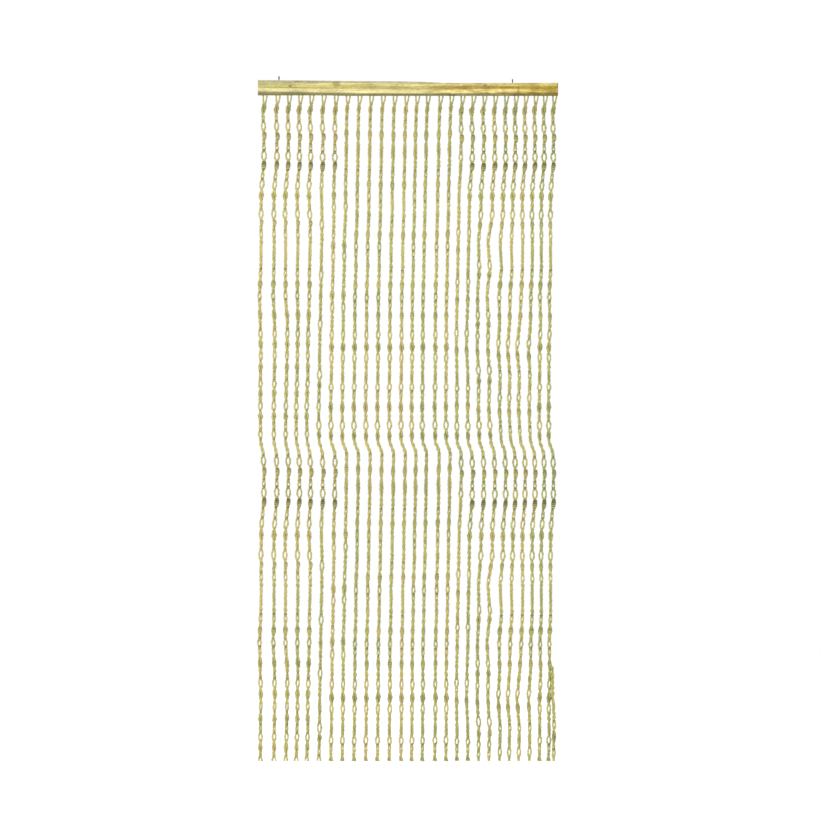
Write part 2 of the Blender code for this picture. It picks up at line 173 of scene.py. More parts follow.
# How the strands hang
SWAY = 0.0012
SWAY_WAVE = 0.47
SWAY_EASE = 0.10
GOLDEN_ANGLE = math.radians(137.5)

# How many millimetres right of their places the strands hang over one repeat, a column for
# each of nine strands; those between lie evenly between. The repeat starts again at the joint.
HANG_STRANDS = (1, 3, 5, 8, 17, 19, 21, 24, 26)
HANG = table(("drop", *HANG_STRANDS), (
    (0.02, 3.5, 3.5, 4, 3.5, 3, 3.5, 4, 3.5, 4),
    (0.05, -1.5, -0.5, -1.8, 0.6, 0.3, -2.7, -0.3, -0.8, -1),
    (0.13, 1.1, 0.9, 1.2, -0.7, -2.3, 0.3, 1.3, 0.6, 0.8),
    (0.20, 1, 0.8, 0.6, -1.2, -2.7, -0.7, 1.7, 0.8, 1.2),
    (0.28, -6.1, -7.1, -4.5, -3.3, -5.3, -7.5, -5.6, -6.8, -6.4),
    (0.36, -7.8, -9.2, -1.5, -3.5, -6, -9.7, -5.7, -7.6, -8.3),
    (0.44, -6.8, -7.1, -0.1, -7.2, -8.4, -10.6, -19.2, -6.2, -7.4),
    (0.52, -8.1, -7.6, -2.5, -7.1, -9.1, -12.9, -12.7, -7.1, -7.3),
    (0.60, -12, -7.9, -3.1, -10.3, -11.5, -13.4, -21.9, -10.7, -11.6),
    (0.68, -10, -1.6, -5.4, -10.1, -12.4, -16.2, -17.3, -14.7, -9.6),
    (0.76, -7.9, -2.6, -7.7, -11.3, -12.1, -17.8, -19.4, -23.6, -12.7),
    (0.84, -9.1, -4.2, -7.4, -12.1, -12.7, -13.5, -14.1, -16.1, -12.2),
    (0.94, -9.6, -6.6, -11, -13.4, -14.1, -14.2, -16.2, -18.8, -13.8),
    (1.05, -8.4, -7.7, -9.6, -12.8, -12.6, -13.2, -10, -12.2, -12.3),
))
JOINT_TOP = 1.034
JOINT_FOOT = 1.078

# The two legs by which a strand leaves the tape, right of the strand's place, down to its neck
ROOT_LEGS = table(("drop", "left", "right", "radius"), (
    (-0.0018, -0.0007, 0.0102, 0.0029),
    (0.0000, -0.0007, 0.0102, 0.0029),
    (0.0060, -0.0007, 0.0100, 0.0029),
    (0.0110, -0.0007, 0.0094, 0.0030),
    (0.0160, -0.0005, 0.0080, 0.0031),
    (0.0200, 0.0001, 0.0068, 0.0032),
))

# Half parting and radius of the two cords at the middle of each kind of feature:
# a share of its width plus a fixed part
KINDS = {row["kind"]: row for row in table(
    ("kind", "part_share", "part_more", "radius_share", "radius_more", "round", "twist"), (
        ("eye", 0.50, -0.0027, 0.00, 0.0027, 0.8, 0.30),
        ("bead", 0.50, -0.0022, 0.00, 0.0022, 1.0, 0.40),
        ("lobes", 0.24, 0.0, 0.26, 0.0, 0.7, 0.85),
        ("swell", 0.21, 0.0, 0.28, 0.0, 1.0, 0.60),
        ("wound", 0.12, 0.0, 0.19, 0.0, 0.6, 0.50),
        ("tie", 0.00, 0.0013, 0.00, 0.0021, 1.0, 0.0),
    ))}

# The cords turn slowly over this share of a feature's length to each side of its middle
SLOW_TURN = 0.35

# Least drop between two changes of their turning
STOP_STEP = 0.002

# Knots, eyes and ties from the batten's foot down, over one repeat of the strand.
# A row's darkness is painted shade; an eye's or a bead's is that of the tie at its head.
OUTER_TOP = knots(
    ("lobes", 44, 34, 15.6, 0.35), ("bead", 72, 10, 10, 0), ("eye", 96.5, 26, 16.8, 0.8),
    ("wound", 126.5, 24, 14.6, 0.6, 2), ("bead", 161, 12, 12.4, 0.8), ("eye", 185, 28, 17.6, 1),
    ("wound", 213, 29, 16, 1, 1), ("tie", 228.5, 8, 8.8, 1),
)
OUTER_WAIST = knots(
    ("bead", 246.5, 14, 11.2, 0), ("eye", 270, 26, 16, 0.7), ("lobes", 302.5, 28, 15.4, 0.15),
)
PALE_TOP = knots(
    ("lobes", 44, 34, 15.6, 0.35), ("bead", 72, 10, 10, 0), ("eye", 96.5, 26, 16, 0.7),
    ("wound", 126.5, 24, 14.2, 0.55, 2), ("bead", 161, 12, 10.8, 0.3), ("eye", 183, 22, 14.6, 0.5),
    ("swell", 214, 44, 11.6, 0.1), ("eye", 268, 20, 12.4, 0.2), ("swell", 302.5, 30, 9.2, 0.15),
)
PALE_WAIST = knots(
    ("bead", 246.5, 14, 9.8, 0), ("eye", 270, 24, 12.8, 0.2), ("swell", 302.5, 36, 10.6, 0.05),
)
LEFT_FOOT = knots(
    ("eye", 357.5, 26, 16.2, 0.3), ("wound", 385, 18, 12.4, 0.4, 2), ("bead", 420, 14, 12, 0.5),
    ("swell", 476, 50, 10, 0.05), ("bead", 534, 12, 11.6, 1), ("wound", 568, 22, 15.6, 0.35),
    ("eye", 602.5, 20, 14.2, 0.5), ("bead", 624.5, 10, 10.2, 0.8),
    ("lobes", 658.5, 34, 14.2, 0.25), ("tie", 687.5, 8, 7.8, 0.6), ("eye", 715.5, 22, 15, 0.7),
    ("lobes", 745, 26, 14.4, 0.15), ("eye", 781, 18, 13, 0), ("tie", 796, 8, 7.6, 0.7),
    ("lobes", 814, 24, 13.8, 0.15), ("bead", 841, 10, 10.2, 0.7), ("eye", 865.5, 20, 15, 0.6),
    ("lobes", 894.5, 26, 13.8, 0.1), ("eye", 932.5, 24, 15, 0.2), ("tie", 946, 8, 8, 0.8),
    ("lobes", 963.5, 24, 14.6, 0.2), ("bead", 993.5, 10, 10.2, 0.6), ("eye", 1016.1, 20, 15, 0.6),
    ("tie", 1032.5, 10, 8.6, 0.8),
)
LOOSE_LEFT_FOOT = knots(
    ("eye", 388, 26, 15, 0.3), ("swell", 483.5, 50, 11.2, 0.1), ("tie", 504, 8, 7.8, 0.6),
    ("eye", 538, 26, 15.6, 0.5), ("lobes", 602, 30, 12.4, 0.1), ("tie", 654, 8, 7.8, 0.5),
    ("eye", 687, 26, 15.6, 0.5), ("swell", 783, 40, 11.2, 0.1), ("tie", 802, 8, 7.8, 0.6),
    ("eye", 839, 28, 17, 0.5), ("lobes", 869, 24, 14.2, 0.4), ("bead", 906, 12, 11.2, 0.6),
    ("eye", 932, 26, 14.2, 0.6), ("swell", 959, 28, 9.2, 0.45), ("eye", 989, 26, 17, 0.5),
    ("lobes", 1019, 26, 13.4, 0.4),
)
SIDE_WAIST = knots(
    ("bead", 269, 12, 11.6, 0.3), ("wound", 301.5, 24, 14, 0.3), ("eye", 336, 20, 14.2, 0.3),
    ("bead", 419, 12, 11.6, 0.5), ("lobes", 451.5, 30, 14.8, 0.2), ("eye", 483.5, 22, 14.6, 0.3),
    ("bead", 568.5, 12, 11.6, 0.5), ("lobes", 599, 30, 14.8, 0.2), ("eye", 636, 22, 14.6, 0.3),
)
INNER_RIGHT_FOOT = knots(
    ("eye", 410, 24, 14, 0.4), ("bead", 430, 10, 10.2, 0), ("wound", 465, 22, 12.8, 0.3),
    ("swell", 534, 30, 10, 0.4), ("eye", 560, 22, 14.6, 0.3), ("bead", 580, 10, 10.2, 0.3),
    ("wound", 616, 24, 13, 0.3), ("tie", 681, 8, 7.8, 0.6), ("eye", 714, 24, 14.6, 0.4),
    ("bead", 733, 10, 10.2, 0), ("wound", 767, 24, 14, 0.35), ("swell", 849, 36, 10.4, 0.3),
    ("eye", 880, 22, 15.2, 0.4), ("bead", 900, 10, 10.4, 0.4), ("wound", 934, 26, 14.2, 0.35),
    ("tie", 978, 8, 7.8, 0.4), ("eye", 992, 26, 17.2, 0.3), ("lobes", 1022, 26, 13.4, 0.4),
)
CROWDED_FOOT = knots(
    ("eye", 357.5, 26, 16.2, 0.3), ("wound", 390, 22, 13.2, 0.3), ("bead", 425, 12, 11.2, 0.3),
    ("eye", 508.5, 24, 14.6, 0.4), ("lobes", 538, 24, 13.8, 0.25), ("bead", 573, 12, 11, 0.3),
    ("wound", 617, 24, 12.6, 0.3), ("eye", 659, 22, 14.6, 0.4), ("lobes", 688, 22, 14, 0.3),
    ("eye", 722.5, 20, 13.8, 0.4), ("bead", 751, 10, 10.4, 0.3), ("wound", 771, 26, 13.6, 0.3),
    ("eye", 824, 26, 16.6, 0.4), ("lobes", 857, 26, 14.2, 0.35), ("eye", 888, 18, 13.8, 0.4),
    ("bead", 914.5, 12, 11.6, 0.3), ("lobes", 945, 30, 13, 0.25), ("eye", 990, 26, 17.2, 0.3),
    ("lobes", 1020, 26, 13.4, 0.4),
)
RIGHT_WAIST = knots(
    ("eye", 357.5, 26, 16.2, 0.3), ("wound", 388, 18, 13, 0.35), ("bead", 421.6, 16, 12.6, 0),
    ("swell", 475, 60, 9.8, 0.15), ("bead", 537, 12, 11.6, 1), ("wound", 570, 24, 15.6, 0.35),
    ("eye", 606.6, 18, 14.6, 0.4), ("bead", 629, 10, 10.4, 0.8), ("tie", 643, 8, 7.8, 0.6),
    ("wound", 664, 24, 13.8, 0.25),
)
LOOSE_RIGHT_FOOT = knots(
    ("lobes", 704, 22, 12.6, 0.15), ("eye", 743, 22, 15, 0.3), ("wound", 784, 26, 14.2, 0.35),
    ("bead", 841, 12, 12, 0.9), ("swell", 872, 30, 11.2, 0.15), ("eye", 908, 22, 14.4, 0.3),
    ("wound", 952, 26, 14.2, 0.35), ("bead", 1006, 12, 11.8, 0.9), ("swell", 1033, 20, 10, 0.2),
)
PLAIN_FOOT = knots(
    ("eye", 718.5, 22, 14.2, 0.3), ("lobes", 756, 28, 15.8, 0.35), ("eye", 787.5, 22, 14.2, 0),
    ("swell", 847, 36, 10.6, 0.3), ("eye", 876, 22, 15.6, 0), ("bead", 898.5, 10, 10.6, 0.7),
    ("lobes", 936, 34, 14.2, 0.35), ("eye", 990, 26, 17.2, 0.2), ("lobes", 1021, 28, 13.4, 0.4),
)
MIDDLE_TOP = knots(
    ("lobes", 43, 30, 12.8, 0.25), ("bead", 86, 10, 10.2, 0.7), ("wound", 119.5, 27, 14.2, 0.2),
    ("swell", 166.5, 48, 12.2, 0.2), ("bead", 238, 10, 10.6, 0.9),
)
MIDDLE_PLAIN = knots(
    ("swell", 323, 50, 10, 0), ("bead", 388, 10, 10.6, 0.9), ("wound", 419.5, 24, 14, 0.2),
    ("swell", 476, 50, 10, 0.05), ("bead", 538, 10, 10.6, 0.9), ("wound", 571, 24, 14.6, 0.15),
)
MIDDLE_EYED = knots(
    ("eye", 302, 20, 12.2, 0.6), ("bead", 328.5, 10, 10.6, 0.8), ("swell", 360, 24, 11.6, 0.15),
    ("bead", 388, 10, 10.4, 0.5), ("wound", 419.5, 24, 14, 0.2), ("eye", 455.5, 20, 13.2, 0.6),
    ("bead", 478, 10, 10.6, 0.9), ("tie", 488, 8, 7.8, 0.6), ("wound", 514, 22, 12, 0.15),
    ("wound", 571, 22, 13.6, 0.1),
)
MIDDLE_WAIST = knots(
    ("wound", 269, 24, 14, 0.15), ("eye", 606.5, 18, 13.2, 0.6), ("bead", 630.5, 10, 10.6, 0.9),
    ("tie", 641.5, 8, 7.8, 0.7), ("wound", 662.5, 26, 13.8, 0.2),
)

# A loose end held by the last strand's lowest big knot: where it hangs beside that strand
LOOSE_END = STRAND_COUNT + 1
LOOSE_END_LINE = table(("drop", "right", "back"), (
    (1.703, 0.0, 0.0), (1.722, 0.0080, -0.0045), (1.790, 0.0100, -0.0045),
    (1.835, 0.0140, -0.0035), (1.879, 0.0150, -0.0024), (2.000, 0.0150, -0.0020),
))
LOOSE_END_KNOTS = knots(
    ("tie", 1725, 8, 7.8, 0.6), ("swell", 1830, 24, 10, 0.1), ("eye", 1889, 20, 13, 0.9),
    ("lobes", 1923, 40, 12.8, 0.5), ("eye", 1973, 18, 13, 0.9),
)

# Which strands carry which rows
PATTERNS = table(("first", "last", "rows"), (
    (1, 7, OUTER_TOP), (1, 5, OUTER_WAIST), (6, 6, PALE_WAIST), (1, 5, LEFT_FOOT),
    (6, 6, LOOSE_LEFT_FOOT), (7, 8, SIDE_WAIST), (8, 17, MIDDLE_TOP), (9, 11, MIDDLE_EYED),
    (12, 13, MIDDLE_PLAIN), (14, 17, MIDDLE_EYED), (9, 17, MIDDLE_WAIST), (7, 17, PLAIN_FOOT),
    (18, 18, PALE_TOP), (19, 27, OUTER_TOP), (19, 27, OUTER_WAIST), (18, 19, INNER_RIGHT_FOOT),
    (20, 21, CROWDED_FOOT), (22, 27, RIGHT_WAIST), (22, 25, LOOSE_RIGHT_FOOT),
    (26, 27, PLAIN_FOOT),
))

# How much lower than its pattern a strand's first knots sit; this fades out down the repeat
LAGS = table(("number", "lag"), (
    (1, -0.0045), (4, -0.0020), (7, 0.0006), (8, -0.0045), (12, 0.0026), (15, 0.0002),
    (17, -0.0050), (18, 0.0030), (27, 0.0018),
))
LAG_REACH = 0.75

# How much one knot differs from its pattern
DROP_SPREAD = 0.0010
WIDTH_SHARES = (0.94, 1.05)
ASIDE_SPREAD = 0.0005
TINT_SPREAD = 0.22

# Darkness of the cords down the strand, most at the roots and over the top of each repeat; painted
# shade where they cross; and changes of their tint
DROP_DARKNESS = table(("drop", "dark"), (
    (0.00, 0.36), (0.02, 0.30), (0.03, 0.16), (0.23, 0.16), (0.32, 0.02), (1.05, 0.02),
    (1.10, 0.16), (1.24, 0.16), (1.34, 0.02), (2.00, 0.02),
))
CROSSING_SHADE = 0.20
TINT_WAVE = 0.12
SIDE_TINT = 0.08

# The tie at the head of an eye or a bead, and the gap between them
HEAD_TIE = {"kind": "tie", "length": 0.009, "width": 0.0104, "aside": 0.0}
HEAD_TIE_GAPS = {"eye": 0.0010, "bead": 0.0055}

# Least length of a feature above the strand's cut end
LEAST_END = 0.004

# Strips wound round a knot and round a tie: half their width, and how many turns
WINDINGS = {"wound": (0.0027, 4.5), "tie": (0.0017, 2.2)}
STRIP_SIDES = 4
STRIP_FLATNESS = 0.32
STRIP_STEPS = 7
STRIP_MARGIN = 1.6

# A strip is narrower at its ends, leans, has painted shade darkest at its head and has a grain of
# its own
STRIP_ENDS = 0.82
STRIP_LEAN = 0.18
STRIP_SHADE = 0.12
STRIP_FADE = 0.45
STRIP_ALONG = 3
STRIP_ALONG_LENGTH = 0.12

# The knot under its strip is slimmer at its ends, lobed and less deep than wide
KNOT_ENDS = 0.62
KNOT_TRIM = 0.12
KNOT_ROUND = 1.3
KNOT_LOBES = 3
KNOT_LOBING = 0.05
DEPTH_SHARE = 0.90

# Stray fibres
FIBRES = 26
FIBRE_SIDES = 3
FIBRE_RADIUS = 0.00028
FIBRE_LENGTH = 0.012
FIBRE_SHARES = (0.35, 1.0)
FIBRE_RISES = (-0.8, 1.0)
FIBRE_ROOT = 0.30
FIBRE_REACH = 0.55
FIBRE_TAPER = 0.6
FIBRE_ALONG_LENGTH = 0.02
FIBRE_SHADE = 0.05
FIBRE_TINT = 0.1
FIBRE_STEPS = 4

# What a swept line is
CORD, STRIP, FIBRE = 0, 1, 2

# Studio
PIXEL = 0.003
PHOTO_SIDE = 820
PHOTO_CENTRE_X = 408
FOOT_ROW = 95.2
CAMERA_DISTANCE = 8.0
SENSOR = 36
LAMP_SIZE = (2.4, 1.6)
LAMP_POWER = 60
LAMP_PLACE = (-1.6, -3.2, 1.6)
LAMP_TURN = (math.radians(58), 0, math.radians(-26))
WHITE = (1, 1, 1, 1)
FLOOR_LEVEL = -2.30
FLOOR_SIDE = 12.0
FLOOR_ROUGHNESS = 0.9
FLOOR_GLOW = 0.06


def between(rows, given, wanted, value):
    """Straight-line value of one column of a table at a value of another."""
    for low, high in zip(rows, rows[1:]):
        if value <= high[given]:
            share = (value - low[given]) / (high[given] - low[given])
            return low[wanted] + (high[wanted] - low[wanted]) * share
    return rows[-1][wanted]


def smooth(share):
    """An eased share from 0 to 1."""
    share = min(1.0, max(0.0, share))
    return share * share * (3 - 2 * share)


def strand_place(number):
    """Where along the batten a strand hangs."""
    return between(PLACES, "number", "x", number)


def hang_aside(number, drop):
    """How far right of its place a strand hangs at DROP over one repeat."""
    asides = [{"number": named, "aside": between(HANG, "drop", named, drop)}
              for named in HANG_STRANDS]
    return between(asides, "number", "aside", number) / MILLIMETRES


def strand_line(number, drop):
    """Where strand NUMBER's middle hangs at DROP below the batten's foot, as (x, y)."""
    if number == LOOSE_END:
        x, y = strand_line(STRAND_COUNT, drop)
        return (x + between(LOOSE_END_LINE, "drop", "right", drop),
                y + between(LOOSE_END_LINE, "drop", "back", drop))
    ease = min(1.0, max(0.0, drop / SWAY_EASE))
    turn = math.tau * drop / SWAY_WAVE + number * GOLDEN_ANGLE
    aside = hang_aside(number, drop)
    if drop > JOINT_TOP:
        again = hang_aside(number, (drop - REPEAT_START) / REPEAT_STRETCH)
        aside += (again - aside) * smooth((drop - JOINT_TOP) / (JOINT_FOOT - JOINT_TOP))
    return strand_place(number) + aside, SWAY * ease * math.cos(turn)


def knot_drop(number, drop):
    """Where a strand's knot sits that its pattern puts at DROP."""
    return drop + between(LAGS, "number", "lag", number) * (1 - smooth(drop / LAG_REACH))


def strand_rows(number):
    """The rows of knots, eyes, beads and ties that one strand carries, down to its end."""
    if number == LOOSE_END:
        return LOOSE_END_KNOTS
    first = [{**row, "drop": knot_drop(number, row["drop"])} for pattern in PATTERNS
             if pattern["first"] <= number <= pattern["last"] for row in pattern["rows"]]
    first.sort(key=lambda row: row["drop"])
    again = [{**row, "drop": REPEAT_START + REPEAT_STRETCH * row["drop"],
              "length": REPEAT_STRETCH * row["length"]} for row in first[1:]]
    return [row for row in first + again
            if row["drop"] - row["length"] / 2 < STRAND_LENGTH - LEAST_END]


def strand_features(number, chance):
    """Knots, eyes, beads and ties of one strand, each a little its own size."""
    features = []
    for row in strand_rows(number):
        made = {
            **row,
            "drop": row["drop"] + chance.uniform(-DROP_SPREAD, DROP_SPREAD),
            "width": row["width"] * chance.uniform(*WIDTH_SHARES),
            "aside": row["aside"] + chance.uniform(-ASIDE_SPREAD, ASIDE_SPREAD),
            "tint": chance.uniform(-TINT_SPREAD, TINT_SPREAD),
        }
        if row["kind"] in HEAD_TIE_GAPS:
            if row["dark"]:
                gap = HEAD_TIE_GAPS[row["kind"]]
                features.append({**HEAD_TIE, "drop": made["drop"] - row["length"] / 2 - gap,
                                 "dark": row["dark"], "tint": made["tint"]})
            made["dark"] = 0.0
        features.append(made)
    return features


def cord_start(number):
    """The drop from which a strand's two cords run side by side."""
    return LOOSE_END_LINE[0]["drop"] if number == LOOSE_END else ROOT_NECK_DROP


def turning(start, features):
    """Drops and angles through which the pair of cords turns, eyes facing the front."""
    stops = [(start, 0.0)]
    for row in features:
        tie = row["kind"] == "tie"
        reach = 0.0 if tie else SLOW_TURN * row["length"]
        twist = KINDS[row["kind"]]["twist"]
        head = max(row["drop"] - reach, stops[-1][0] + STOP_STEP)
        offset = math.pi / 2 if tie else 0.0
        wanted = stops[-1][1] + twist + math.pi * (head - stops[-1][0]) / HALF_TURN
        halves = round((wanted - offset) / math.pi)
        angle = offset + halves * math.pi
        if angle - twist < stops[-1][1]:
            angle += math.pi
        stops.append((head, angle - twist))
        if reach:
            stops.append((max(row["drop"] + reach, head + STOP_STEP), angle + twist))
    stops.append((max(STRAND_LENGTH, stops[-1][0] + STOP_STEP), stops[-1][1] + math.pi / 2))
    return stops


def cord_size(drop, features):
    """Parting, radius, aside, shade and tint of the pair of cords at DROP."""
    parting, radius, aside, shade, tint = PARTING_SHARE * CORD_RADIUS, CORD_RADIUS, 0.0, 0.0, 0.0
    for row in features:
        share = (drop - row["drop"]) / row["length"] + 0.5
        if not 0 < share < 1:
            continue
        kind = KINDS[row["kind"]]
        weight = math.sin(math.pi * share) ** kind["round"]
        middle = kind["part_share"] * row["width"] + kind["part_more"]
        fat = kind["radius_share"] * row["width"] + kind["radius_more"]
        parting += (middle - parting) * weight
        radius += (fat - radius) * weight
        aside += row["aside"] * weight
        # Painted shade at ties and at the heads of knots
        shade += row["dark"] * weight
        tint += row["tint"] * weight
    return parting, radius, aside, shade, tint


def cord_pair(number, features, chance):
    """The two cords of one strand as rows of points down to the cut end."""
    start = cord_start(number)
    stops = turning(start, features)
    phases = [chance.uniform(0, math.tau) for _ in range(4)]
    cords = ([], [])
    steps = round((STRAND_LENGTH - start) / CORD_STEP)
    drops = [] if number == LOOSE_END else [leg["drop"] for leg in ROOT_LEGS]
    drops += [start + CORD_STEP * i for i in range(steps)] + [STRAND_LENGTH]
    place = 0
    for drop in drops:
        while place < len(stops) - 2 and drop > stops[place + 1][0]:
            place += 1
        (low, low_angle), (high, high_angle) = stops[place], stops[place + 1]
        angle = low_angle + (high_angle - low_angle) * smooth((drop - low) / (high - low))
        parting, radius, aside, shade, tint = cord_size(drop, features)
        crossing = 1 - abs(math.cos(angle))
        drop_dark = between(DROP_DARKNESS, "drop", "dark", drop)
        # Painted shade at ties, knots and crossings added to the darkness by drop
        shade = min(1.0, drop_dark + shade + CROSSING_SHADE * crossing ** 2)
        slow = TINT_WAVE * math.sin(math.tau * drop / REPEAT_START + phases[0])
        x, y = strand_line(number, drop)
        for side, cord in zip((-1, 1), cords):
            wave = LONG_LUMP * math.sin(math.tau * drop / LONG_LUMP_WAVE + phases[0] + side)
            wave += SHORT_LUMP * math.sin(math.tau * drop / SHORT_LUMP_WAVE + phases[1] - side)
            out = side * parting
            dx, dy = aside + out * math.cos(angle), out * math.sin(angle)
            thickness = radius * (1 + wave) / math.sqrt(CORD_FLATNESS)
            if drop < start:
                leg = "left" if side < 0 else "right"
                dx = strand_place(number) + between(ROOT_LEGS, "drop", leg, drop) - x
                dy = 0.0
                thickness = between(ROOT_LEGS, "drop", "radius", drop)
            cord.append({
                "place": (x + dx, y + dy, BATTEN_FOOT - drop),
                "thickness": thickness,
                "turn": math.tau * drop / CORD_ROLL + phases[2] + side,
                "along": drop + side,
                "shade": shade,
                "tint": tint + slow + side * SIDE_TINT,
            })
    return cords


def winding(number, row, half_strip, turns, chance):
    """One strip wound round a knot or a tie."""
    phase = chance.uniform(0, math.tau)
    hand = chance.choice((-1, 1))
    count = round(turns * STRIP_STEPS)
    thick = half_strip * STRIP_FLATNESS
    reach = max(row["length"] - half_strip * STRIP_MARGIN, half_strip)
    points = []
    for i in range(count + 1):
        share = i / count
        drop = min(row["drop"] + (share - 0.5) * reach, STRAND_LENGTH - half_strip)
        angle = hand * math.tau * turns * share + phase
        belly = 1.0
        if row["kind"] != "tie":
            bulge = math.sin(math.pi * (KNOT_TRIM + (1 - 2 * KNOT_TRIM) * share)) ** KNOT_ROUND
            belly = KNOT_ENDS + (1 - KNOT_ENDS) * bulge
        lobing = 1 + KNOT_LOBING * math.sin(KNOT_LOBES * angle)
        radius = (row["width"] / 2 - thick) * belly * lobing
        x, y = strand_line(number, drop)
        points.append({
            "place": (x + row["aside"] + radius * math.cos(angle),
                      y + radius * DEPTH_SHARE * math.sin(angle), BATTEN_FOOT - drop),
            "thickness": half_strip * (
                STRIP_ENDS + (1 - STRIP_ENDS) * math.sin(math.pi * share)),
            "turn": math.pi / 2 + STRIP_LEAN * hand,
            "along": row["drop"] + STRIP_ALONG + share * STRIP_ALONG_LENGTH,
            # painted shade on the strip, darkest at its head
            "shade": min(1.0, STRIP_SHADE + row["dark"] * (
                1 - STRIP_FADE + STRIP_FADE * math.cos(math.pi * share))),
            "tint": row["tint"],
        })
    return points


def stray_fibre(number, features, chance):
    """One thin fibre that stands out from a knot or an eye."""
    row = chance.choice([f for f in features
                         if f["kind"] != "bead" and f["drop"] < STRAND_LENGTH - FIBRE_LENGTH])
    x, y = strand_line(number, row["drop"])
    angle = chance.uniform(0, math.tau)
    rise = chance.uniform(*FIBRE_RISES)
    start = row["width"] * FIBRE_ROOT
    length = FIBRE_LENGTH * chance.uniform(*FIBRE_SHARES)
    points = []
    for i in range(FIBRE_STEPS + 1):
        share = i / FIBRE_STEPS
        out = start + length * FIBRE_REACH * math.sin(0.5 * math.pi * share)
        points.append({
            "place": (x + out * math.cos(angle), y + out * math.sin(angle),
                      BATTEN_FOOT - row["drop"] - rise * length * share * share),
            "thickness": FIBRE_RADIUS * (1 - FIBRE_TAPER * share),
            "along": row["drop"] + share * FIBRE_ALONG_LENGTH,
            "shade": FIBRE_SHADE,
            "tint": FIBRE_TINT,
        })
    return points


def put(name, data):
    """A new object in the scene."""
    item = bpy.data.objects.new(name, data)
    bpy.context.scene.collection.objects.link(item)
    return item


def draw_lines(name, lines, tint=0.0):
    """An edge mesh of the lines, each point with its sizes and finish as attributes."""
    points = [point for _, line in lines for point in line]
    edges = []
    parts = []
    for part, line in lines:
        first = len(parts)
        parts += [part] * len(line)
        edges += [(first + i, first + i + 1) for i in range(len(line) - 1)]
    mesh = bpy.data.meshes.new(name)
    mesh.from_pydata([point["place"] for point in points], edges, [])
    for fact in ("thickness", "turn", "along", "shade", "tint"):
        more = tint if fact == "tint" else 0.0
        values = [point.get(fact, 0.0) + more for point in points]
        mesh.attributes.new(fact, "FLOAT", "POINT").data.foreach_set("value", values)
    mesh.attributes.new("part", "INT", "POINT").data.foreach_set("value", parts)
    return put(name, mesh)


def feed(tree, socket, value):
    """Link a socket to another node's output, or set it to a plain value."""
    if isinstance(value, bpy.types.NodeSocket):
        tree.links.new(value, socket)
    else:
        socket.default_value = value


def add_node(tree, kind, settings=(), **inputs):
    """A node of the tree with its settings, its values set and its links made."""
    made = tree.nodes.new(kind)
    for name, value in settings:
        setattr(made, name, value)
    for name, value in inputs.items():
        feed(tree, made.inputs[name.replace("_", " ")], value)
    return made


def read_fact(tree, name, data_type="FLOAT"):
    """The value of a named attribute inside the tree."""
    reader = add_node(tree, "GeometryNodeInputNamedAttribute",
                      [("data_type", data_type)], Name=name)
    return reader.outputs["Attribute"]


def sweep_branch(tree, lines, part, sides, flatness):
    """The lines of one part swept into closed skins; the flat strips stand up."""
    chosen = add_node(tree, "FunctionNodeCompare",
                      [("data_type", "INT"), ("operation", "EQUAL")])
    feed(tree, chosen.inputs[2], read_fact(tree, "part", "INT"))
    feed(tree, chosen.inputs[3], part)
    apart = add_node(tree, "GeometryNodeSeparateGeometry", [("domain", "POINT")],
                     Geometry=lines, Selection=chosen.outputs["Result"])
    curve = add_node(tree, "GeometryNodeMeshToCurve", Mesh=apart.outputs["Selection"])
    curve = curve.outputs["Curve"]
    if part == STRIP:
        curve = add_node(tree, "GeometryNodeSetCurveNormal", [("mode", "Z_UP")],
                         Curve=curve).outputs["Curve"]
    curve = add_node(tree, "GeometryNodeSetCurveTilt", Curve=curve,
                     Tilt=read_fact(tree, "turn")).outputs["Curve"]
    circle = add_node(tree, "GeometryNodeCurvePrimitiveCircle", Resolution=sides, Radius=1.0)
    keep = add_node(tree, "GeometryNodeCaptureAttribute")
    keep.capture_items.new("VECTOR", "Around")
    feed(tree, keep.inputs["Geometry"], circle.outputs["Curve"])
    place = tree.nodes.new("GeometryNodeInputPosition").outputs["Position"]
    feed(tree, keep.inputs["Around"], place)
    width = add_node(tree, "ShaderNodeCombineXYZ", X=1.0, Y=flatness, Z=1.0)
    profile = add_node(tree, "GeometryNodeTransform", Geometry=keep.outputs["Geometry"],
                       Scale=width.outputs["Vector"])
    skin = add_node(tree, "GeometryNodeCurveToMesh", Curve=curve,
                    Profile_Curve=profile.outputs["Geometry"],
                    Scale=read_fact(tree, "thickness"), Fill_Caps=True)
    kept = add_node(tree, "GeometryNodeStoreNamedAttribute",
                    [("data_type", "FLOAT_VECTOR"), ("domain", "POINT")],
                    Geometry=skin.outputs["Mesh"], Name="around",
                    Value=keep.outputs["Around"])
    return kept.outputs["Geometry"]


def husk_sweep_tree():
    """Geometry Nodes that sweep cords, wound strips and fibres along their lines."""
    tree = bpy.data.node_groups.new("husk sweep", "GeometryNodeTree")
    for name, way, kind in (("Geometry", "INPUT", "Geometry"), ("Cord Sides", "INPUT", "Int"),
                            ("Cord Flatness", "INPUT", "Float"), ("Material", "INPUT", "Material"),
                            ("Geometry", "OUTPUT", "Geometry")):
        tree.interface.new_socket(name, in_out=way, socket_type="NodeSocket" + kind)
    given = tree.nodes.new("NodeGroupInput").outputs
    join = tree.nodes.new("GeometryNodeJoinGeometry")
    for part, sides, flatness in ((FIBRE, FIBRE_SIDES, 1.0), (STRIP, STRIP_SIDES, STRIP_FLATNESS),
                                  (CORD, given["Cord Sides"], given["Cord Flatness"])):
        feed(tree, join.inputs["Geometry"],
             sweep_branch(tree, given["Geometry"], part, sides, flatness))
    soft = add_node(tree, "GeometryNodeSetShadeSmooth", Geometry=join.outputs["Geometry"])
    real = add_node(tree, "GeometryNodeRealizeInstances", Geometry=soft.outputs["Geometry"])
    done = add_node(tree, "GeometryNodeSetMaterial", Geometry=real.outputs["Geometry"],
                    Material=given["Material"])
    add_node(tree, "NodeGroupOutput", Geometry=done.outputs["Geometry"])
    return tree


